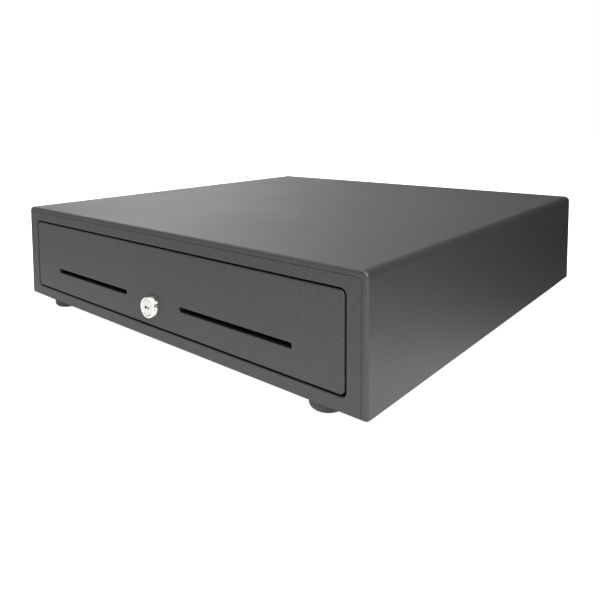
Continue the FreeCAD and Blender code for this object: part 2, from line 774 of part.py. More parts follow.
def make_slide_bracket(side, body):
    """A bracket from the base to the slide's outer member, with a flange to the side wall."""
    out = slide_wall(side)
    front, back = "SlideFront + 1", "SlideFront + SlideLength"
    near, far = "OuterReach", "(OuterReach + BracketSheet)"
    top = "(SlideMiddle + OuterHeight + 6)"
    pieces = [
        (near, far, FLOOR, top),
        ("0", near, FLOOR, f"{FLOOR} + BracketSheet"),
        (far, f"{INSIDE} - PanHalf - 0.4", f"{top} - BracketSheet", top),
    ]
    for first, second, low, high in pieces:
        a, b = sorted((out(f"({first})"), out(f"({second})")), key=measure)
        prism(body, "XZ", front, back, rectangle(a, low, b, high))
    holes = [(x, y, "2 + HoleGap") for x, y in BRACKET_SPOTS if SIDES[side] * measure(x) > 0]
    hollow(body, "XY", f"{FLOOR} - 1", f"{FLOOR} + BracketSheet + 1", *holes)
    return body


# ---------------------------------------------------------------- drawer


def slot_ends(side, grow):
    """The low and high corners of a document slot made larger all round by a formula."""
    sign = SIDES[side]
    ends = sorted((f"{sign} * (SlotNear - ({grow}))", f"{sign} * (SlotFar + ({grow}))"), key=measure)
    half = f"(SlotHeight / 2 + ({grow}))"
    return ends[0], f"SlotMiddle - {half}", ends[1], f"SlotMiddle + {half}"


def slot_outline(side, grow):
    """That slot's rectangle."""
    return rectangle(*slot_ends(side, grow))


BOSS_SPOTS = [(side, high) for side in ("-168", "-22", "22", "168") for high in ("30", "71")]


def make_drawer_front():
    """The drawer's front: a shallow pressed tray with two document slots and the lock's hole."""
    body = new_body("drawer_front")
    face = Rounded(f"-{PANEL_HALF}", PANEL_LOW, PANEL_HALF, PANEL_TOP, "PanelCorner")
    prism(body, "XZ", FRONT, f"{PANEL_INSIDE} + PanelReturn", face)
    front = measure(FRONT)

    def rim_edge(edge):
        box = edge.BoundBox
        return abs(box.YMin - front) < 0.02 and abs(box.YMax - front) < 0.02

    round_edges(body, "0.9", rim_edge)
    wall = "SheetThick"
    inside = Rounded(
        f"-{PANEL_HALF} + {wall}", f"{PANEL_LOW} + {wall}",
        f"{PANEL_HALF} - {wall}", f"{PANEL_TOP} - {wall}", f"(PanelCorner - {wall})",
    )
    hollow(body, "XZ", PANEL_INSIDE, f"{PANEL_INSIDE} + PanelReturn + 1", inside)
    prism(body, "XZ", PANEL_INSIDE, "PanFront", *[(x, z, "3.5") for x, z in BOSS_SPOTS])
    threads = [(x, z, "ScrewRadius + RunningGap") for x, z in BOSS_SPOTS]
    hollow(body, "XZ", f"{PANEL_INSIDE} + 1", "PanFront + 1", *threads)
    openings = [Rounded(*[f"({text})" for text in slot_ends(side, "0")], "SlotCorner") for side in SIDES]
    hollow(body, "XZ", f"{FRONT} - 1", f"{PANEL_INSIDE} + 1", *openings)
    hollow(body, "XZ", f"{FRONT} - 1", f"{PANEL_INSIDE} + 1", ("0", "LockHigh", "LockBarrel + HoleGap"))


def make_slot_guide(side, body):
    """A plastic chute that takes a document from its slot to the floor of the pan."""
    start = f"{PANEL_INSIDE} + 0.1"
    prism(body, "XZ", start, "GuideBack", slot_outline(side, "GuideWall"))
    hollow(body, "XZ", f"{start} - 1", "GuideBack + 1", slot_outline(side, "0.1"))
    collar = slot_outline(side, "GuideWall + 2.5")
    prism(body, "XZ", "PanFront - 1.6", "PanFront - 0.1", collar, slot_outline(side, "0.1"))
    return body


def make_drawer_pan():
    """The drawer's pan: a folded floor and sides, with a front and a back plate welded in."""
    low, high = "(PanLow + PanThick + WeldGap)", "PanTop"
    inner = "(PanHalf - PanThick)"
    plate = rectangle(f"-{inner} + WeldGap", low, f"{inner} - WeldGap", high)

    trough = doc.addObject("PartDesign::Body", "pan_trough")
    outside = rectangle("-PanHalf", "PanLow", "PanHalf", "PanTop")
    prism(trough, "XZ", "PanFront", "PanBack", outside)
    inside = rectangle(f"-{inner}", "PanLow + PanThick", inner, "PanTop + 1")
    hollow(trough, "XZ", "PanFront - 1", "PanBack + 1", inside)
    rivets = [(y, "SlideMiddle", "ScrewRadius + HoleGap") for y in RIVET_SPOTS]
    hollow(trough, "YZ", "-PanHalf - 1", "PanHalf + 1", *rivets)

    front = doc.addObject("PartDesign::Body", "pan_front")
    prism(front, "XZ", "PanFront", PAN_INSIDE, plate)
    for side in SIDES:
        left, bottom, right, _ = slot_ends(side, "GuideWall + 0.3")
        notch = rectangle(left, bottom, right, "PanTop + 1")
        hollow(front, "XZ", "PanFront - 1", f"{PAN_INSIDE} + 1", notch)
    holes = [("0", "LockHigh", "LockBarrel + 0.5")]
    holes += [(x, z, "ScrewRadius + HoleGap") for x, z in BOSS_SPOTS]
    hollow(front, "XZ", "PanFront - 1", f"{PAN_INSIDE} + 1", *holes)

    back = doc.addObject("PartDesign::Body", "pan_back")
    prism(back, "XZ", "PanBack - PanThick", "PanBack", plate)
    holes = [("0", "LockHigh", "RodRadius + 1")]
    holes += [(x, z, "ScrewRadius + HoleGap") for x, z in STRIKER_SPOTS]
    hollow(back, "XZ", "PanBack - PanThick - 1", "PanBack + 1", *holes)
    publish("drawer_pan", group("drawer_pan", [trough, front, back]))


STRIKER_SPOTS = [("-12", "58"), ("12", "58")]


def make_front_screws():
    """The screws that hold the front to the pan, and the rivets that hold the slides and striker."""
    screws = []
    for index, (x, z) in enumerate(BOSS_SPOTS):
        seat = (x, PAN_INSIDE, z)
        screws.append(screw(f"front_screw_{index}", seat, "+Y", "ScrewRadius", "2.8", "1.8", "7"))
    publish("front_screws", group("front_screws", screws))
    rivets = []
    for side, sign in SIDES.items():
        way = "+X" if sign > 0 else "-X"
        for index, y in enumerate(RIVET_SPOTS):
            name = f"rivet_{side}_{index}"
            pieces = []
            for bit, out, radius, length in (
                ("head", "-PanThick - 0.8", "2.6", "0.8"),
                ("shank", "-PanThick", "ScrewRadius", "3.2"),
                ("tail", "SlideSheet", "2.4", "1.2"),
            ):
                seat = (f"{sign} * (PanHalf + {out})", y, "SlideMiddle")
                pieces.append(rod(f"{name}_{bit}", seat, way, radius, length))
            rivets.append(fuse(name, pieces))
    for index, (x, z) in enumerate(STRIKER_SPOTS):
        name = f"striker_rivet_{index}"
        head = rod(f"{name}_head", (x, "PanBack + 1.5", z), "+Y", "2.6", "1")
        shank = rod(f"{name}_shank", (x, "PanBack - PanThick - 1", z), "+Y", "ScrewRadius", "PanThick + 3.5")
        tail = rod(f"{name}_tail", (x, "PanBack - PanThick - 1", z), "+Y", "2.4", "1")
        rivets.append(fuse(name, [head, shank, tail]))
    publish("drawer_rivets", group("drawer_rivets", rivets))


def make_till_rail(side, body):
    """An angle welded inside the pan, which carries the till."""
    sign = SIDES[side]
    wall = "(PanHalf - PanThick)"
    legs = [
        (f"{wall} - 1.2", wall, "PanLow + PanThick", "SlideMiddle - 5"),
        (f"{wall} - 15", wall, "TillLow - 1.2", "TillLow"),
    ]
    for near, far, low, high in legs:
        a, b = sorted((f"{sign} * ({near})", f"{sign} * ({far})"), key=measure)
        prism(body, "XZ", "-184", "160", rectangle(a, low, b, high))
    return body


def compartments(half, wall, count, index):
    """The two sides of one of a row of equal compartments."""
    pitch = f"((2 * ({half}) - ({wall})) / {count})"
    low = f"(-({half}) + ({wall}) + {index} * {pitch})"
    return low, f"({low} + {pitch} - ({wall}))"


def make_till_tray():
    """The moulded till: bill compartments behind, and a well in front for the coin tray."""
    body = new_body("till_tray")
    prism(body, "XY", "TillLow", "TillTop", rectangle("-TillHalf", "TillFront", "TillHalf", "TillBack"))
    half = measure("TillHalf")
    round_edges(body, "3", lambda e: along(e, Z) and abs(abs(e.CenterOfMass.x) - half) < 0.02)
    well = rectangle("-TillHalf + TillWall", "TillFront + TillWall", "TillHalf - TillWall", "WellBack")
    hollow(body, "XY", TILL_FLOOR, "TillTop + 1", well)
    for index in range(CLIP_COUNT):
        low, high = compartments("TillHalf", "TillWall", CLIP_COUNT, index)
        bay = rectangle(low, "WellBack + TillWall", high, "TillBack - TillWall")
        hollow(body, "XY", TILL_FLOOR, "TillTop + 1", bay)
    bore = ("ClipAxisBack", "ClipAxisHigh", "ClipRodRadius + RunningGap")
    hollow(body, "YZ", "-TillHalf - 1", "TillHalf + 1", bore)
    notch = rectangle("-16", "TillTop - 9", "16", "TillTop + 1")
    hollow(body, "XZ", "TillFront - 1", "TillFront + TillWall + 1", notch)


def make_coin_tray():
    """The lift-out coin tray: two rows of cups with scooped floors."""
    body = new_body("coin_tray")
    half = "(TillHalf - TillWall - 0.5)"
    front, back = "(TillFront + TillWall + 0.5)", "(WellBack - 0.5)"
    low, top = f"({TILL_FLOOR} + 0.2)", "(TillTop - 1)"
    prism(body, "XY", low, top, rectangle(f"-{half}", front, half, back))
    row = f"(({back} - {front} - TillWall) / 2)"
    cups = []
    for step in range(2):
        near = f"({front} + TillWall + {step} * {row})"
        for index in range(CUPS_ACROSS):
            left, right = compartments(half, "TillWall", CUPS_ACROSS, index)
            cups.append(rectangle(left, near, right, f"{near} + {row} - TillWall"))
    hollow(body, "XY", f"{low} + TillWall", f"{top} + 1", *cups)
    floor = measure(f"{low} + TillWall")
    round_edges(body, "CupRound", lambda e: near_line(e, X, z=floor))


def make_bill_clips():
    """The bill clips, their rod and their torsion springs."""
    spring_solids = []
    for index in range(CLIP_COUNT):
        left, right = compartments("TillHalf", "TillWall", CLIP_COUNT, index)
        middle = f"(({left} + {right}) / 2)"
        body = new_body(f"bill_clip_{index + 1}")
        prism(body, "YZ", "-7", "7", ("0", "0", "4.4"))
        arm = [("0", "-1"), ("0", "4"), ("-ClipLength", "3"), ("-ClipLength", "0"), ("-30", "-1")]
        prism(body, "YZ", "-6", "6", arm)
        heel, toe = "-ClipLength + 12", "-ClipLength - 6"
        shoe = [(heel, "0"), (heel, "2.4"), (toe, "3.2"), (toe, "0.8")]
        prism(body, "YZ", "-22", "22", shoe)
        tab = [
            ("-ClipLength + 2", "2"), ("-ClipLength + 4", "2"),
            ("-ClipLength", "9"), ("-ClipLength - 2", "9"),
        ]
        prism(body, "YZ", "-6", "6", tab)
        hollow(body, "YZ", "-23", "23", ("0", "0", "ClipRodRadius + RunningGap"))
        place(body, middle, "ClipAxisBack", "ClipAxisHigh", turn=Rotation(X, DIMENSIONS["ClipDrop"]))
        body.setExpression("Placement.Rotation.Angle", formula("ClipDrop"))
        start = (f"{middle} + 8.2", "ClipAxisBack", "ClipAxisHigh")
        spring_solids.append(coil(f"clip_spring_{index}", start, "+X", "3.1", "0.9", "1.15", "6"))
    start = ("-TillHalf + 0.5", "ClipAxisBack", "ClipAxisHigh")
    publish("clip_rod", rod("clip_rod", start, "+X", "ClipRodRadius", "2 * TillHalf - 1"))
    publish("clip_springs", group("clip_springs", spring_solids))


# ---------------------------------------------------------------- lock


def make_lock():
    """The chrome lock barrel with its nut, and the plug, cam and rod that the key turns."""
    housing = new_body("lock_housing")
    seat, nose = FRONT, f"({FRONT} - LockProud)"
    bore = "(PlugRadius + RunningGap)"
    spin(housing, [
        (bore, f"{nose} + 0.6"), ("LockBevel", nose), ("LockFace - 0.3", nose),
        ("LockFace", f"{nose} + 0.3"), ("LockFlange", f"{seat} - 1.1"), ("LockFlange", seat),
        ("LockBarrel", seat), ("LockBarrel", f"{seat} + 26"), (bore, f"{seat} + 26"),
    ])
    pin_hole = (f"{nose} + 1.7", "0", "0.6")
    hollow(housing, "YZ", "LockFace - 0.6", "LockFlange + 1", pin_hole)
    place(housing, "0", "0", "LockHigh")

    ahead = ("0", f"{PANEL_INSIDE} - 1", "LockHigh")
    nut_bore = rod("lock_nut_bore", ahead, "+Y", "LockBarrel + RunningGap", "6")
    six = doc.addObject("Part::Prism", "lock_nut_hexagon")
    six.Polygon = 6
    bind(six, Circumradius="13.6", Height="3")
    place(six, "0", PANEL_INSIDE, "LockHigh", turn=TURNS["+Y"])
    publish("lock_nut", cut("lock_nut", six, nut_bore))

    plug = new_body("lock_plug")
    spin(plug, [
        ("0", f"{nose} + 0.3"), ("PlugRadius - 0.4", f"{nose} + 0.3"), ("PlugRadius", f"{nose} + 0.7"),
        ("PlugRadius", f"{seat} + 26.4"), ("3", f"{seat} + 26.4"),
        ("3", f"{seat} + 31"), ("0", f"{seat} + 31"),
    ])
    keyway = [
        ("-2.9", "-0.9"), ("-0.6", "-0.9"), ("-0.2", "-0.3"),
        ("0.7", "-0.3"), ("1.0", "-0.75"), ("2.7", "-0.75"),
        ("2.7", "0.65"), ("1.0", "0.65"), ("0.7", "0.25"),
        ("-0.2", "0.25"), ("-0.6", "1.3"), ("-2.9", "1.3"),
    ]
    hollow(plug, "XZ", f"{nose} - 1", f"{nose} + 18", keyway)
    place(plug, "0", "0", "LockHigh")

    cam = new_body("lock_cam")
    plate = [("-5", "-5"), ("5", "-5"), ("5", "5"), ("-5", "5")]
    near, far = f"{seat} + 26.6", f"{seat} + 28.8"
    prism(cam, "XZ", near, far, plate)
    prism(cam, "XZ", near, far, rectangle("-3.5", "-12", "3.5", "-4"))
    hollow(cam, "XZ", f"{near} - 1", f"{far} + 1", ("0", "0", "3"))
    place(cam, "0", "0", "LockHigh")

    long_rod = new_body("release_rod")
    start, end = f"{seat} + 31", "PanBack + 5"
    prism(long_rod, "XZ", start, end, ("0", "0", "RodRadius"))
    finger = rectangle("-1.4", "-11", "1.4", "0")
    prism(long_rod, "XZ", "PanBack + 2", end, finger)
    place(long_rod, "0", "0", "LockHigh")

    bush = rod("rod_bush_flange", ("0", "PanBack", "LockHigh"), "+Y", "RodRadius + 2.5", "1.2")
    inside = ("0", "PanBack - PanThick - 2", "LockHigh")
    sleeve = rod("rod_bush_sleeve", inside, "+Y", "RodRadius + 0.95", "PanThick + 2")
    hole = rod("rod_bush_hole", ("0", "PanBack - 6", "LockHigh"), "+Y", "RodRadius + RunningGap", "12")
    publish("rod_bush", cut("rod_bush", fuse("rod_bush_solid", [bush, sleeve]), hole))

    stand = new_body("rod_guide")
    upright = rectangle("-9", "PanLow + PanThick", "9", "LockHigh + 6")
    prism(stand, "XZ", "-6", "-4.5", upright)
    prism(stand, "XY", "PanLow + PanThick", "PanLow + PanThick + 1.5", rectangle("-9", "-4.5", "9", "8"))
    hollow(stand, "XZ", "-7", "-3", ("0", "LockHigh", "RodRadius + RunningGap"))


# ---------------------------------------------------------------- latch and solenoid


def make_striker():
    """The striker on the back of the drawer: a plate with a notched tongue."""
    body = new_body("striker")
    prism(body, "XZ", "PanBack", "PanBack + 1.5", rectangle("-17", "LatchHigh - 1", "17", "63"))
    tongue = [
        ("-6", "PanBack"), ("6", "PanBack"), ("6", "PanBack + 6"), ("1.5", "PanBack + 6"),
        ("1.5", "PanBack + 17"), ("6", "PanBack + 17"), ("6", "PanBack + 24"), ("-6", "PanBack + 24"),
    ]
    prism(body, "XY", "LatchHigh - 1", "LatchHigh + 1", tongue)
    holes = [(x, z, "ScrewRadius + HoleGap") for x, z in STRIKER_SPOTS]
    hollow(body, "XZ", "PanBack - 1", "PanBack + 2", *holes)


def make_latch():
    """The latch lever on its pin: a hook towards the striker, a slot for the plunger and a tail."""
    lever = new_body("latch_lever")
    low, high = "-LatchThick / 2", "LatchThick / 2"
    outline = [
        ("-4.5", "2"), ("-15", "2"), ("-15", "-2"), ("-4.5", "-2"), ("-4", "-16"), ("-7", "-17"),
        ("-7", "-21"), ("-3", "-23"), ("4", "-23"), ("4.5", "2"),
    ]
    prism(lever, "XY", low, high, outline)
    prism(lever, "XY", low, high, ("0", "0", "5"))
    slot = rectangle("-1.7", "-14.2", "1.7", "-7.8")
    hollow(lever, "XY", f"{low} - 1", f"{high} + 1", slot, ("0", "0", "2 + RunningGap"))
    place(lever, "PivotSide", "PivotBack", "LatchHigh")

    under = ("PivotSide", "PivotBack", "PlatformHigh - 3")
    over = ("PivotSide", "PivotBack", "PlatformHigh + 1.5")
    pin = rod("pivot_shank", under, "+Z", "2", "LatchHigh + 6 - PlatformHigh")
    collar = rod("pivot_collar", over, "+Z", "4", "LatchHigh - LatchThick / 2 - PlatformHigh - 1.8")
    clip = rod("pivot_clip", ("PivotSide", "PivotBack", "LatchHigh + LatchThick / 2 + 0.3"), "+Z", "4", "1")
    publish("latch_pivot_pin", fuse("latch_pivot_pin", [pin, collar, clip]))


def make_solenoid():
    """The solenoid: an iron yoke, a wound coil on a bobbin, and the plunger that works the latch."""
    yoke = new_body("solenoid_yoke")
    low, high = "LatchHigh - 10", "LatchHigh + 10"
    plan = [
        ("38", "176"), ("40.5", "176"), ("40.5", "197.6"), ("75.5", "197.6"), ("75.5", "176"),
        ("78", "176"), ("78", "200"), ("38", "200"),
    ]
    prism(yoke, "XY", low, high, plan)
    hollow(yoke, "YZ", "37", "79", ("PlungerBack", "LatchHigh", "PlungerRadius + 0.3"))

    bore = "PlungerRadius + 0.25"
    axis = ("PlungerBack", "LatchHigh")
    bobbin = [
        rod("bobbin_tube", ("40.6", *axis), "+X", "PlungerRadius + 1", "34.8"),
        rod("bobbin_left", ("40.6", *axis), "+X", "10", "1.4"),
        rod("bobbin_right", ("74", *axis), "+X", "10", "1.4"),
    ]
    hole = rod("bobbin_hole", ("39", *axis), "+X", bore, "40")
    publish("coil_bobbin", cut("coil_bobbin", fuse("bobbin_solid", bobbin), hole))
    winding = rod("winding_outer", ("42.1", *axis), "+X", "9.2", "31.8")
    inside = rod("winding_inner", ("41", *axis), "+X", "PlungerRadius + 1.05", "36")
    publish("coil_winding", cut("coil_winding", winding, inside))

    plunger = new_body("solenoid_plunger")
    prism(plunger, "YZ", "20", "66", (*axis, "PlungerRadius"))
    fork = rectangle("PlungerBack - 3.6", "LatchHigh - 4", "PlungerBack + 3.6", "LatchHigh + 4")
    prism(plunger, "YZ", "10", "23", fork)
    slot = rectangle("PlungerBack - 5", "LatchHigh - 2.1", "PlungerBack + 5", "LatchHigh + 2.1")
    hollow(plunger, "YZ", "9", "21.5", slot)
    bore = ("PivotSide", "PlungerBack", "1.2")
    prism(plunger, "XY", "LatchHigh - 5.2", "LatchHigh + 5.2", bore)

    start = ("23.6", *axis)
    publish("plunger_spring", coil("plunger_spring", start, "+X", "5.3", "0.8", "2.4", "5"))

    platform = new_body("latch_platform")
    thick = "BracketSheet"
    profile = [
        ("-30", FLOOR), ("-30", f"{FLOOR} + {thick}"), ("-15.5", f"{FLOOR} + {thick}"),
        ("-15.5", f"PlatformHigh + {thick}"), ("85.5", f"PlatformHigh + {thick}"),
        ("85.5", f"{FLOOR} + {thick}"),
        ("100", f"{FLOOR} + {thick}"), ("100", FLOOR), ("84", FLOOR), ("84", "PlatformHigh"),
        ("-14", "PlatformHigh"), ("-14", FLOOR),
    ]
    prism(platform, "XZ", "174.5", "203", profile)
    holes = [(x, y, "ScrewRadius + HoleGap") for x, y in PLATFORM_SPOTS]
    hollow(platform, "XY", f"{FLOOR} - 1", f"{FLOOR} + 3", *holes)
    hollow(platform, "XY", "PlatformHigh - 1", "PlatformHigh + 3", ("PivotSide", "PivotBack", "2 + HoleGap"))
    pads = [(rectangle("39", "178", "77", "196"), low), (SWITCH_PLAN, SWITCH_LOW)]
    for outline, top in pads:
        prism(platform, "XY", f"PlatformHigh + {thick}", top, outline)



SWITCH_LOW = "(LatchHigh - 3)"
SWITCH_PLAN = rectangle("-24", "180", "-12", "194.4")


def make_switch():
    """The drawer switch that the latch's tail lets go: its case and its leaf."""
    case = new_body("switch_body")
    prism(case, "XY", SWITCH_LOW, "LatchHigh + 3", SWITCH_PLAN)
    leaf = new_body("switch_leaf")
    blade = rectangle("0", "-0.2", "24", "0.2")
    prism(leaf, "XY", "-1.8", "1.8", blade)
    prism(leaf, "XY", "-1.8", "1.8", ("0", "0", "0.8"))
    place(leaf, "-23", "195.5", "LatchHigh")


def make_eject_spring():
    """The spring that throws the drawer open: its guide post, its coil and its cap."""
    axis = ("SpringSide", "LatchHigh")

    def spot(depth):
        return (axis[0], depth, axis[1])

    base = rod("guide_base", spot(f"{BACK_PLATE} - 2"), "+Y", "13", "2")
    post = rod("guide_post", spot("180"), "+Y", "4", f"{BACK_PLATE} - 180")
    publish("spring_guide", fuse("spring_guide", [base, post]))
    disc = rod("cap_disc", spot("PanBack + 1.2"), "+Y", "10.5", "4")
    spigot = rod("cap_spigot", spot("PanBack + 1.2"), "+Y", "5.6", "10")
    publish("spring_cap", fuse("spring_cap", [disc, spigot]))
    start = spot("PanBack + 6.2")
    publish("eject_spring", coil("eject_spring", start, "+Y", "SpringRadius", "SpringWire", "3.4", "8"))


def make_socket():
    """The six-way socket on its small board, and the wires from it to the coil and the switch."""
    socket = new_body("rj_socket")
    front, back = "190", f"{BACK_PLATE} + SheetThick"
    side, high = "SocketSide", "SocketHigh"
    case = rectangle(f"{side} - 6.6", f"{high} - 6.6", f"{side} + 6.6", f"{high} + 6.6")
    prism(socket, "XZ", front, back, case)
    mouth = rectangle(f"{side} - 4.9", f"{high} - 3.2", f"{side} + 4.9", f"{high} + 3.8")
    key = rectangle(f"{side} - 3.2", f"{high} - 5.0", f"{side} + 3.2", f"{high} - 3.1")
    hollow(socket, "XZ", f"{back} - 13", f"{back} + 1", mouth)
    hollow(socket, "XZ", f"{back} - 13", f"{back} + 1", key)
    board = block("socket_board", (f"{side} - 15", "188.3", "17"), (f"{side} + 15", "189.9", f"{high} + 12"))
    publish("socket_board", board)


def tube(points, radius, bend):
    """A round tube along straight runs joined by arcs of one bend radius."""
    edges = []
    last = points[0]
    for before, corner, after in zip(points, points[1:], points[2:]):
        to_start = (before - corner).normalize()
        to_end = (after - corner).normalize()
        half_angle = to_start.getAngle(to_end) / 2
        reach = bend / math.tan(half_angle)
        start, end = corner + to_start * reach, corner + to_end * reach
        bisector = (to_start + to_end).normalize()
        middle = corner + bisector * (bend / math.sin(half_angle) - bend)
        edges.append(Part.LineSegment(last, start).toShape())
        edges.append(Part.Arc(start, middle, end).toShape())
        last = end
    edges.append(Part.LineSegment(last, points[-1]).toShape())
    wire = Part.Wire(edges)
    ahead = (points[1] - points[0]).normalize()
    section = Part.Wire([Part.Circle(points[0], ahead, radius).toShape()])
    return wire.makePipeShell([section], True, True)


def make_wiring():
    """The wiring loom, from the back of the board to the solenoid's coil."""
    low = measure(FLOOR) + 3
    side = measure("SocketSide")
    points = [
        Vector(side - 8, 186.8, 34), Vector(side - 12, 180, 24), Vector(side - 22, 181, low),
        Vector(107, 181, low), Vector(94, 174.6, 22), Vector(84, 173.8, 33), Vector(66, 174.8, 36.5),
    ]
    loom = doc.addObject("Part::Feature", "wiring_loom")
    loom.Shape = tube(points, 1.5, 4.5)
    publish("wiring_loom", loom)


# ---------------------------------------------------------------- the whole


make_outer_cover()
make_base_pan()
make_front_frame()
make_back_panel()
make_top_brace()
make_feet()
make_foot_fasteners()
make_cabinet_screws()
make_bumpers()
for slide_side in SIDES:
    make_slides(slide_side)
make_cages()
pair("slide_brackets", make_slide_bracket)
pair("slot_guides", make_slot_guide)
pair("till_rails", make_till_rail)
make_drawer_front()
make_drawer_pan()
make_front_screws()
make_till_tray()
make_coin_tray()
make_bill_clips()
make_lock()
make_striker()
make_latch()
make_solenoid()
make_switch()
make_eject_spring()
make_socket()
make_wiring()

doc.recompute()
faults = [thing.Name for thing in doc.Objects if {"Invalid", "Error"} & set(thing.State)]
for thing in subparts:
    shape = thing.Shape
    if shape.isNull() or not shape.isValid() or shape.Volume <= 0:
        faults.append(thing.Label)
if faults:
    raise RuntimeError(f"these are not sound: {sorted(set(faults))}")

os.makedirs("parts", exist_ok=True)
for thing in subparts:
    thing.Shape.exportStep(f"parts/{thing.Label}.step")
whole = Part.makeCompound([thing.Shape for thing in subparts]).BoundBox
print(f"{len(subparts)} sub-parts, {whole.XLength:.1f} x {whole.YLength:.1f} x {whole.ZLength:.1f} mm")
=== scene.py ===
"""The looks of the cash drawer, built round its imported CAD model. Metres, +Z up, front at -Y."""
import json
import math

import bmesh
import bpy
from mathutils import Matrix, Vector


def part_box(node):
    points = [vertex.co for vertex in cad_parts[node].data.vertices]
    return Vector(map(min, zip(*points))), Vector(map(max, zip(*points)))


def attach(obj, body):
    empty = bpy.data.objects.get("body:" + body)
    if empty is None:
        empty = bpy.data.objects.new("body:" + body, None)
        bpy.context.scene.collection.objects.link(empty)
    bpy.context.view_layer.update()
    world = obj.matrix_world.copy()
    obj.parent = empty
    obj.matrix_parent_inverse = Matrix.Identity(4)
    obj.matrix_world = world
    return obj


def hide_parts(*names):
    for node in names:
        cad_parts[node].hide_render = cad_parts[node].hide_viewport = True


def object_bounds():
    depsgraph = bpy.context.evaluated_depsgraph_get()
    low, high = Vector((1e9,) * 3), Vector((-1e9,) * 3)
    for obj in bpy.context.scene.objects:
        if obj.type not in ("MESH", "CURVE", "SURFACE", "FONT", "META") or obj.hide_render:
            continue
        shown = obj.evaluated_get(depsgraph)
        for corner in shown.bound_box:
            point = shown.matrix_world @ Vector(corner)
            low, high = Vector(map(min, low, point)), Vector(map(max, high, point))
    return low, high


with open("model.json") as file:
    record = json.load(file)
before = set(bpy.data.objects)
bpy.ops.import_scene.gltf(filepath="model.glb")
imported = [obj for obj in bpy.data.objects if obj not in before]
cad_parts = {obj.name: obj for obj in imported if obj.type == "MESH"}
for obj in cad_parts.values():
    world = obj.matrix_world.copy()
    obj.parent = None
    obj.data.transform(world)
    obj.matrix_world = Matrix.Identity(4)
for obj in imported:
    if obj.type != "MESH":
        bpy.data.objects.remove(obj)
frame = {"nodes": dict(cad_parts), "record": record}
cad_low, cad_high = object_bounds()
nodes = frame["nodes"]

MM = 0.001
X_AXIS, Y_AXIS = Vector((1, 0, 0)), Vector((0, 1, 0))

CAMERA_PLACE = (0.3796, -0.4854, 0.1866)
CAMERA_YAW, CAMERA_PITCH, CAMERA_ROLL = 41.64, 4.37, -0.49
CAMERA_LENS = 34.69
CAMERA_SHIFT = (0.0503, -0.225)

DARK_END = (0.574, 0.819, 0.0)
FLOOR_REACH = 6.0
FLOOR_GAP = 0.0002
WELD_REACH = 1e-6
BEVEL_ANGLE = math.radians(40)
SHARP_ANGLE = math.radians(35)


# ---------------------------------------------------------------- camera, light and floor


def look_rotation(yaw, pitch, roll):
    """The rotation of a camera that looks along +Y, turned left by yaw, down by pitch and rolled."""
    level = Matrix.Rotation(math.pi / 2, 3, "X")
    tilt = Matrix.Rotation(-pitch, 3, "X")
    turn = Matrix.Rotation(yaw, 3, "Z")
    spin = Matrix.Rotation(roll, 3, "Z")
    return (turn @ tilt @ level @ spin).to_4x4()


def make_camera():
    """A camera a little above the drawer's top, to the right of its front."""
    data = bpy.data.cameras.new("camera")
    data.sensor_width = 36.0
    data.lens = CAMERA_LENS
    data.shift_x, data.shift_y = CAMERA_SHIFT
    data.clip_start = 0.01
    camera = bpy.data.objects.new("camera", data)
    place = Matrix.Translation(Vector(CAMERA_PLACE))
    turn = look_rotation(*[math.radians(angle) for angle in (CAMERA_YAW, CAMERA_PITCH, CAMERA_ROLL)])
    camera.matrix_world = place @ turn
    bpy.context.scene.collection.objects.link(camera)
    bpy.context.scene.camera = camera


def area_light(name, place, target, size, power):
    """A soft square light that faces a point."""
    data = bpy.data.lights.new(name, "AREA")
    data.size = size
    data.energy = power
    light = bpy.data.objects.new(name, data)
    light.location = place
    facing = (Vector(target) - Vector(place)).normalized()
    light.rotation_euler = facing.to_track_quat("-Z", "Y").to_euler()
    bpy.context.scene.collection.objects.link(light)


def shaded_side(add, direction, stops):
    """Greys across the studio, which has its dark end behind and to the right of the drawer."""
    towards = add("ShaderNodeVectorMath", {0: direction}, operation="DOT_PRODUCT")
    towards.inputs[1].default_value = DARK_END
    place = add("ShaderNodeMapRange", {"Value": towards.outputs["Value"]})
    place.inputs["From Min"].default_value = -1.0
    return ramp(add, place.outputs["Result"], stops)


def make_world():
    """A grey studio, dark behind and to the right, that the camera sees as plain white."""
    world = bpy.data.worlds.new("studio")
    bpy.context.scene.world = world
    world.use_nodes = True
    tree = world.node_tree
    add = adder(tree)
    direction = add("ShaderNodeTexCoord").outputs["Generated"]
    walls = shaded_side(add, direction, [
        (0.0, 0.27), (0.22, 0.34), (0.38, 0.50), (0.47, 1.0), (0.55, 0.90), (0.66, 0.38), (0.80, 0.11),
        (0.88, 0.02),
    ])
    light = tree.nodes["Background"]
    tree.links.new(walls, light.inputs["Color"])
    light.inputs["Strength"].default_value = 1.8
    backdrop = add("ShaderNodeBackground")
    backdrop.inputs["Color"].default_value = (1.0, 1.0, 1.0, 1.0)
    seen = add("ShaderNodeLightPath").outputs["Is Camera Ray"]
    mix = add("ShaderNodeMixShader", {0: seen, 1: light.outputs[0], 2: backdrop.outputs[0]})
    tree.links.new(mix.outputs[0], tree.nodes["World Output"].inputs["Surface"])


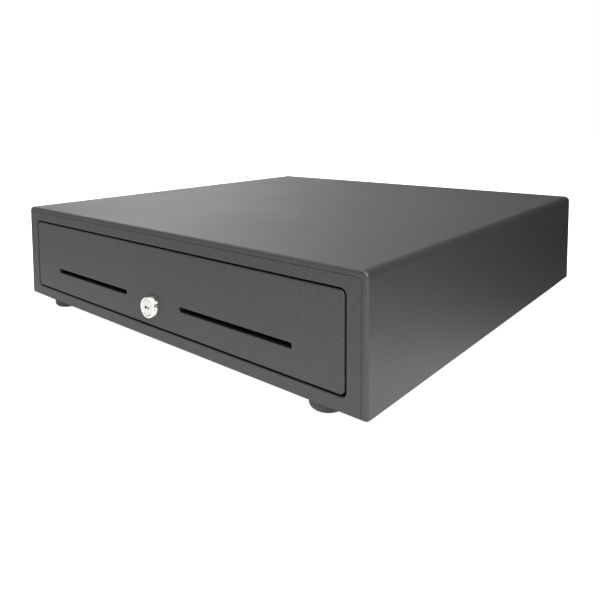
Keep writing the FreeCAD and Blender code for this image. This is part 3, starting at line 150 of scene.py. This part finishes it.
def make_floor():
    """A pale floor, seen white, whose colour and glow are painted darker behind and to the right of the
    drawer.
    """
    mesh = bpy.data.meshes.new("floor")
    reach = FLOOR_REACH
    corners = [(-reach, -reach, 0), (reach, -reach, 0), (reach, reach, 0), (-reach, reach, 0)]
    mesh.from_pydata(corners, [], [(0, 1, 2, 3)])
    floor = bpy.data.objects.new("floor", mesh)
    floor.location.z = cad_low[2] - FLOOR_GAP
    bpy.context.scene.collection.objects.link(floor)

    material, shader, add = new_material("floor_white")
    spot = add("ShaderNodeTexCoord").outputs["Object"]
    # Painted light: the floor's colour and glow are painted in a gradient, darker behind and to the right
    # of the drawer, so that the floor lights the drawer unevenly.
    painted_floor_light = shaded_side(add, spot, [
        (0.0, 0.52), (0.27, 0.54), (0.40, 0.74), (0.47, 0.86), (0.52, 0.86), (0.57, 0.38), (0.62, 0.13),
        (0.68, 0.05), (0.75, 0.01),
    ])
    add.link(painted_floor_light, shader.inputs["Base Color"])
    add.link(painted_floor_light, shader.inputs["Emission Color"])
    shader.inputs["Emission Strength"].default_value = 0.5
    shader.inputs["Roughness"].default_value = 0.9
    shown = add("ShaderNodeBsdfPrincipled")
    shown.inputs["Base Color"].default_value = (0.92, 0.92, 0.92, 1.0)
    shown.inputs["Roughness"].default_value = 0.9
    shown.inputs["Emission Color"].default_value = (1.0, 1.0, 1.0, 1.0)
    shown.inputs["Emission Strength"].default_value = 0.92
    seen = add("ShaderNodeLightPath").outputs["Is Camera Ray"]
    mix = add("ShaderNodeMixShader", {0: seen, 1: shader.outputs[0], 2: shown.outputs[0]})
    add.link(mix.outputs[0], material.node_tree.nodes["Material Output"].inputs["Surface"])
    mesh.materials.append(material)


def make_studio():
    """The studio's walls and floor, a large soft light overhead and a small one at the right."""
    bpy.context.scene.view_settings.view_transform = "Standard"
    make_world()
    make_floor()
    area_light("overhead", (-0.4, -0.3, 1.6), (0, 0, 0), 1.2, 5.0)
    area_light("corner_glint", (0.86, -0.51, 0.83), (0.2, -0.2, 0.1), 0.22, 11.5)


# ---------------------------------------------------------------- materials


def adder(tree):
    """A function that adds nodes to a tree, sets their properties and links their inputs."""

    def add(kind, links=None, **settings):
        node = tree.nodes.new(kind)
        for key, value in settings.items():
            setattr(node, key, value)
        for socket, source in (links or {}).items():
            tree.links.new(source, node.inputs[socket])
        return node

    add.link = tree.links.new
    return add


def new_material(name):
    """A node material with its shader and a function that adds nodes and links them."""
    material = bpy.data.materials.new(name)
    material.use_nodes = True
    return material, material.node_tree.nodes["Principled BSDF"], adder(material.node_tree)


def noise(add, scale, detail=3.0, roughness=0.6, stretch=(1, 1, 1)):
    """Noise in the row frame, stretched along an axis when its scale there is small."""
    coordinates = add("ShaderNodeTexCoord")
    mapping = add("ShaderNodeMapping", {"Vector": coordinates.outputs["Object"]})
    mapping.inputs["Scale"].default_value = stretch
    texture = add("ShaderNodeTexNoise", {"Vector": mapping.outputs["Vector"]})
    texture.inputs["Scale"].default_value = scale
    texture.inputs["Detail"].default_value = detail
    texture.inputs["Roughness"].default_value = roughness
    return texture.outputs["Fac"]


def ramp(add, source, stops):
    """A colour ramp from (place, grey or colour) stops."""
    node = add("ShaderNodeValToRGB", {"Fac": source})
    elements = node.color_ramp.elements
    while len(elements) < len(stops):
        elements.new(0.5)
    for element, (place, colour) in zip(elements, stops):
        if not hasattr(colour, "__len__"):
            colour = (colour, colour, colour)
        element.position = place
        element.color = (*colour, 1.0)
    return node.outputs["Color"]


def bump(add, shader, height, strength, distance, before=None):
    """Bump from a height, on top of an earlier one if there is one."""
    node = add("ShaderNodeBump", {"Height": height})
    node.inputs["Strength"].default_value = strength
    node.inputs["Distance"].default_value = distance
    if before is not None:
        add.link(before, node.inputs["Normal"])
    add.link(node.outputs["Normal"], shader.inputs["Normal"])
    return node.outputs["Normal"]


def scaled(colour, factor):
    """A colour made lighter or darker."""
    return tuple(channel * factor for channel in colour)


def powder_coat():
    """Fine textured satin powder coat: a faint speckle, an orange peel and a slightly uneven gloss."""
    material, shader, add = new_material("powder_coat")
    grain = noise(add, 1100.0, 2.0, 0.55)
    speckle = ramp(add, grain, [(0.36, 0.026), (0.5, 0.032), (0.66, 0.041)])
    add.link(speckle, shader.inputs["Base Color"])
    cloud = noise(add, 9.0, 2.0, 0.5)
    add.link(ramp(add, cloud, [(0.3, 0.44), (0.7, 0.48)]), shader.inputs["Roughness"])
    shader.inputs["Specular IOR Level"].default_value = 0.5
    peel = bump(add, shader, noise(add, 420.0, 2.0, 0.5), 0.15, 0.00008)
    bump(add, shader, grain, 0.2, 0.00005, peel)
    return material


def sheet_metal(name, colour, roughness, grain=(1, 1, 1), flakes=True):
    """Plated sheet: brushed streaks and, where it has them, the cloudy flakes of its zinc."""
    material, shader, add = new_material(name)
    streaks = noise(add, 900.0, 3.0, 0.6, grain)
    cloud = noise(add, 60.0 if flakes else 25.0, 3.0, 0.55)
    mix = add("ShaderNodeMix", data_type="RGBA", blend_type="MULTIPLY")
    mix.inputs["Factor"].default_value = 0.8
    add.link(ramp(add, cloud, [(0.3, scaled(colour, 0.84)), (0.7, scaled(colour, 1.06))]), mix.inputs[6])
    add.link(ramp(add, streaks, [(0.3, 0.86), (0.7, 1.0)]), mix.inputs[7])
    add.link(mix.outputs[2], shader.inputs["Base Color"])
    gloss = ramp(add, streaks, [(0.3, roughness - 0.06), (0.7, roughness + 0.08)])
    add.link(gloss, shader.inputs["Roughness"])
    shader.inputs["Metallic"].default_value = 1.0
    bump(add, shader, streaks, 0.12, 0.00003)
    return material


def chrome(name, colour, roughness):
    """Plated brass, bright, with faint polishing marks."""
    material, shader, add = new_material(name)
    smears = noise(add, 300.0, 3.0, 0.6)
    add.link(ramp(add, smears, [(0.35, scaled(colour, 0.96)), (0.65, colour)]), shader.inputs["Base Color"])
    gloss = ramp(add, smears, [(0.3, roughness * 0.7), (0.7, roughness * 1.4)])
    add.link(gloss, shader.inputs["Roughness"])
    shader.inputs["Metallic"].default_value = 1.0
    return material


def moulded(name, colour, roughness, grain_scale=1400.0, depth=0.00005, sheen=0.0):
    """Moulded plastic or rubber with a fine spark-eroded grain."""
    material, shader, add = new_material(name)
    grain = noise(add, grain_scale, 2.0, 0.5)
    wear = noise(add, 35.0, 4.0, 0.6)
    mix = add("ShaderNodeMix", data_type="RGBA", blend_type="MULTIPLY")
    mix.inputs["Factor"].default_value = 1.0
    add.link(ramp(add, grain, [(0.3, scaled(colour, 0.8)), (0.7, scaled(colour, 1.2))]), mix.inputs[6])
    add.link(ramp(add, wear, [(0.3, 0.88), (0.7, 1.0)]), mix.inputs[7])
    add.link(mix.outputs[2], shader.inputs["Base Color"])
    gloss = ramp(add, wear, [(0.3, roughness - 0.05), (0.7, roughness + 0.07)])
    add.link(gloss, shader.inputs["Roughness"])
    shader.inputs["Sheen Weight"].default_value = sheen
    bump(add, shader, grain, 0.3, depth)
    return material


SLOT_MATERIALS = {
    "powder_coat": powder_coat,
    "zinc_steel": lambda: sheet_metal("zinc_steel", (0.56, 0.57, 0.58), 0.36, (1, 0.06, 1)),
    "slide_steel": lambda: sheet_metal("slide_steel", (0.64, 0.65, 0.67), 0.28, (1, 0.03, 1), False),
    "bright_steel": lambda: sheet_metal("bright_steel", (0.66, 0.66, 0.67), 0.25, (1, 1, 0.2), False),
    "spring_wire": lambda: sheet_metal("spring_wire", (0.42, 0.42, 0.44), 0.32, (1, 1, 1), False),
    "yoke_iron": lambda: sheet_metal("yoke_iron", (0.40, 0.40, 0.41), 0.40, (1, 1, 0.1)),
    "lock_chrome": lambda: chrome("lock_chrome", (0.80, 0.78, 0.75), 0.10),
    "plug_metal": lambda: chrome("plug_metal", (0.70, 0.69, 0.66), 0.22),
    "brass_nut": lambda: chrome("brass_nut", (0.80, 0.62, 0.30), 0.26),
    "black_rubber": lambda: moulded("black_rubber", (0.050, 0.050, 0.051), 0.72, 700.0, 0.00008, 0.1),
    "till_plastic": lambda: moulded("till_plastic", (0.028, 0.028, 0.030), 0.42, 1800.0),
    "clip_plastic": lambda: moulded("clip_plastic", (0.040, 0.040, 0.042), 0.36),
    "guide_plastic": lambda: moulded("guide_plastic", (0.022, 0.022, 0.022), 0.45),
    "bobbin_nylon": lambda: moulded("bobbin_nylon", (0.74, 0.71, 0.60), 0.40),
    "copper_winding": lambda: sheet_metal("copper_winding", (0.72, 0.30, 0.12), 0.30, (20, 1, 1), False),
    "switch_plastic": lambda: moulded("switch_plastic", (0.030, 0.030, 0.032), 0.35),
    "socket_plastic": lambda: moulded("socket_plastic", (0.022, 0.022, 0.022), 0.25),
    "board_green": lambda: moulded("board_green", (0.02, 0.13, 0.05), 0.22, 300.0, 0.00002),
    "loom_pvc": lambda: moulded("loom_pvc", (0.024, 0.024, 0.024), 0.40),
}
slot_materials = {}


def material_of(slot):
    """A slot's material, made once."""
    if slot not in slot_materials:
        slot_materials[slot] = SLOT_MATERIALS[slot]()
    return slot_materials[slot]


EDGE_ROUND = {
    "outer_cover": 0.25, "front_frame": 0.15, "drawer_front": 0.12, "base_pan": 0.25, "back_panel": 0.25,
    "till_tray": 0.5, "coin_tray": 0.45, "slot_guides": 0.3, "drawer_pan": 0.25, "latch_platform": 0.3,
    "solenoid_yoke": 0.4, "solenoid_plunger": 0.25, "lock_cam": 0.2, "latch_lever": 0.25, "striker": 0.25,
    "slide_brackets": 0.3, "till_rails": 0.25, "feet": 0.6, "rj_socket": 0.2, "switch_body": 0.35,
    "spring_cap": 0.5, "spring_guide": 0.4, "bumpers": 0.5, "lock_nut": 0.3, "lock_housing": 0.15,
}


def soften(thing, millimetres):
    """Welds a CAD mesh and, where a width is given, rounds its sharp edges a little."""
    weld = thing.modifiers.new("weld", "WELD")
    weld.merge_threshold = WELD_REACH
    if millimetres:
        bevel = thing.modifiers.new("edges", "BEVEL")
        bevel.width = millimetres * MM
        bevel.segments = 2
        bevel.limit_method = "ANGLE"
        bevel.angle_limit = BEVEL_ANGLE
        bevel.use_clamp_overlap = True
        bevel.harden_normals = False


def dress_nodes():
    """Gives every CAD node its slot's material and soft edges."""
    for part in frame["record"]["subparts"]:
        thing = nodes[part["node"]]
        thing.data.materials.clear()
        thing.data.materials.append(material_of(part["material_slot"]))
        soften(thing, EDGE_ROUND.get(part["node"], 0.0))


# ---------------------------------------------------------------- small pieces


def settle(thing, slot, body, replaced=()):
    """Links a piece, gives it its slot's material and makes it ride on a body."""
    thing.data.materials.append(material_of(slot))
    bpy.context.scene.collection.objects.link(thing)
    if replaced:
        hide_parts(*replaced)
    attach(thing, body)
    return thing


def smooth(mesh):
    """Shades a mesh smooth, apart from its sharp edges."""
    mesh.shade_smooth()
    mesh.set_sharp_from_angle(angle=SHARP_ANGLE)


def in_metres(points):
    """Points in millimetres as points in metres."""
    return [tuple(number * MM for number in point) for point in points]


def lathe(name, profile, origin, axis, slot, body, segments=64, replaced=()):
    """A solid of revolution from a closed loop of (distance along the axis, radius) points."""
    side = X_AXIS if abs(axis.dot(X_AXIS)) < 0.9 else Y_AXIS
    side = (side - axis * side.dot(axis)).normalized()
    other = axis.cross(side)
    grid = bmesh.new()
    rings = []
    for step in range(segments):
        angle = 2 * math.pi * step / segments
        out = side * math.cos(angle) + other * math.sin(angle)
        rings.append([grid.verts.new(origin + axis * along + out * radius) for along, radius in profile])
    for ring, after in zip(rings, rings[1:] + rings[:1]):
        for index in range(len(profile)):
            after_index = (index + 1) % len(profile)
            grid.faces.new((ring[index], ring[after_index], after[after_index], after[index]))
    bmesh.ops.recalc_face_normals(grid, faces=grid.faces)
    mesh = bpy.data.meshes.new(name)
    grid.to_mesh(mesh)
    grid.free()
    smooth(mesh)
    return settle(bpy.data.objects.new(name, mesh), slot, body, replaced)


def wire(name, points, radius, slot, body):
    """A round wire along a smooth line through points."""
    curve = bpy.data.curves.new(name, "CURVE")
    curve.dimensions = "3D"
    curve.bevel_depth = radius
    curve.bevel_resolution = 3
    curve.resolution_u = 6
    curve.use_fill_caps = True
    spline = curve.splines.new("NURBS")
    spline.points.add(len(points) - 1)
    for point, spot in zip(spline.points, points):
        point.co = (*spot, 1.0)
    spline.order_u = 3
    spline.use_endpoint_u = True
    return settle(bpy.data.objects.new(name, curve), slot, body)


def soft_block(name, low, high, slot, body, rounding=0.0003):
    """A box with rounded edges between two corners."""
    grid = bmesh.new()
    bmesh.ops.create_cube(grid, size=1.0)
    size = Vector(high) - Vector(low)
    middle = (Vector(high) + Vector(low)) / 2
    for vert in grid.verts:
        vert.co = Vector(a * b for a, b in zip(vert.co, size)) + middle
    bmesh.ops.bevel(
        grid, geom=grid.edges[:], offset=rounding, segments=3, profile=0.5, affect="EDGES",
    )
    mesh = bpy.data.meshes.new(name)
    grid.to_mesh(mesh)
    grid.free()
    smooth(mesh)
    return settle(bpy.data.objects.new(name, mesh), slot, body)


def make_winding():
    """The coil's copper wire, turn by turn on the outside."""
    low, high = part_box("coil_winding")
    axis_point = Vector((low.x, (low.y + high.y) / 2, (low.z + high.z) / 2))
    outer, inner = (high.z - low.z) / 2, 5.05 * MM
    length, gauge = high.x - low.x, 0.62 * MM
    turns = int(length / gauge)
    steps = 6
    profile = []
    for step in range(turns * steps + 1):
        hump = abs(math.sin(math.pi * step / steps))
        profile.append((length * step / (turns * steps), outer - gauge * 0.45 * (1 - hump)))
    profile += [(length, inner), (0.0, inner)]
    lathe("winding_turns", profile, axis_point, X_AXIS, "copper_winding", "cabinet", 72, ["coil_winding"])


def make_socket_contacts():
    """Six sprung contacts that slope down into the socket's mouth."""
    low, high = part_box("rj_socket")
    middle, pitch = (low.x + high.x) / 2, 1.02 * MM
    top, mouth = high.z - 3.0 * MM, high.y
    for index in range(6):
        x = middle + (index - 2.5) * pitch
        points = [
            (x, mouth - 2.2 * MM, top), (x, mouth - 3.0 * MM, top - 0.1 * MM),
            (x, mouth - 7.5 * MM, top - 2.6 * MM), (x, mouth - 12.2 * MM, top - 4.2 * MM),
        ]
        wire(f"socket_contact_{index + 1}", points, 0.22 * MM, "brass_nut", "cabinet")


def make_switch_details():
    """The switch's three terminals and its button."""
    low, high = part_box("switch_body")
    middle = (low.z + high.z) / 2
    for index in range(3):
        depth = low.y + (2.6 + 4.2 * index) * MM
        near = (low.x - 4.5 * MM, depth, middle - 1.4 * MM)
        far = (low.x + 0.5 * MM, depth + 0.6 * MM, middle + 1.4 * MM)
        soft_block(f"switch_terminal_{index + 1}", near, far, "bright_steel", "cabinet", 0.0001)
    button = Vector((high.x - 4.0 * MM, high.y - 0.6 * MM, middle))
    profile = in_metres([(0, 0.1), (0, 1.2), (0.9, 1.2), (1.15, 0.8), (1.2, 0.1)])
    lathe("switch_button", profile, button, Y_AXIS, "bobbin_nylon", "cabinet", 24)


def make_board_details():
    """What is soldered on the socket's board: a plug for the loom, a chip, a diode and joints."""
    low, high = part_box("socket_board")
    face = low.y

    def spot(across, out, up):
        return Vector((low.x + across * MM, face - out * MM, low.z + up * MM))

    soft_block("board_connector", spot(4, 7, 13), spot(14, 0, 20), "bobbin_nylon", "cabinet", 0.0004)
    soft_block("board_chip", spot(18, 2, 4), spot(26, 0, 10), "switch_plastic", "cabinet")
    glass = in_metres([(0, 0.1), (0, 1.0), (0.8, 1.3), (5.2, 1.3), (6.0, 1.0), (6.0, 0.1)])
    lathe("board_diode", glass, spot(17, 1.5, 14), X_AXIS, "switch_plastic", "cabinet", 24)
    bead = in_metres([(0, 0.1), (0, 0.8), (0.3, 0.65), (0.7, 0.25), (0.8, 0.1)])
    for index in range(6):
        place = spot(11 + 1.6 * index, 0, 30)
        lathe(f"solder_joint_{index + 1}", bead, place, -Y_AXIS, "bright_steel", "cabinet", 16)


def make_hems():
    """The rolled hems along the top edges of the drawer's pan."""
    low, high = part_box("drawer_pan")
    sheet, radius = 1.0 * MM, 0.85 * MM
    inset = sheet / 2
    runs = {
        "left": [(low.x + inset, low.y + 2.5 * MM), (low.x + inset, high.y - 2.5 * MM)],
        "right": [(high.x - inset, low.y + 2.5 * MM), (high.x - inset, high.y - 2.5 * MM)],
        "back": [(low.x + 2.5 * MM, high.y - inset), (high.x - 2.5 * MM, high.y - inset)],
    }
    for side, ((x, y), (far_x, far_y)) in runs.items():
        start, end = Vector((x, y, high.z)), Vector((far_x, far_y, high.z))
        points = [start.lerp(end, step / 4) for step in range(5)]
        wire(f"pan_hem_{side}", points, radius, "zinc_steel", "drawer")


def make_clip_legs():
    """The leg of each torsion spring that presses on its clip."""
    for index in range(1, 6):
        low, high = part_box(f"bill_clip_{index}")
        x = (low.x + high.x) / 2 + 7.6 * MM
        pivot = Vector((x, high.y - 4.4 * MM, high.z - 4.4 * MM))
        down = Vector((0, -math.cos(math.radians(15)), -math.sin(math.radians(15))))
        lift = Vector((0, -down.z, down.y)) * -1
        coil, leg = pivot + lift * 3.1 * MM, pivot + lift * 4.6 * MM
        points = [
            coil, coil + down * 4 * MM, leg + down * 14 * MM, leg + down * 24 * MM,
            leg + down * 26 * MM - X_AXIS * 5 * MM,
        ]
        wire(f"clip_spring_leg_{index}", points, 0.45 * MM, "spring_wire", f"bill_clip_{index}")


# ---------------------------------------------------------------- the scene


make_camera()
make_studio()
dress_nodes()
make_winding()
make_socket_contacts()
make_switch_details()
make_board_details()
make_hems()
make_clip_legs()
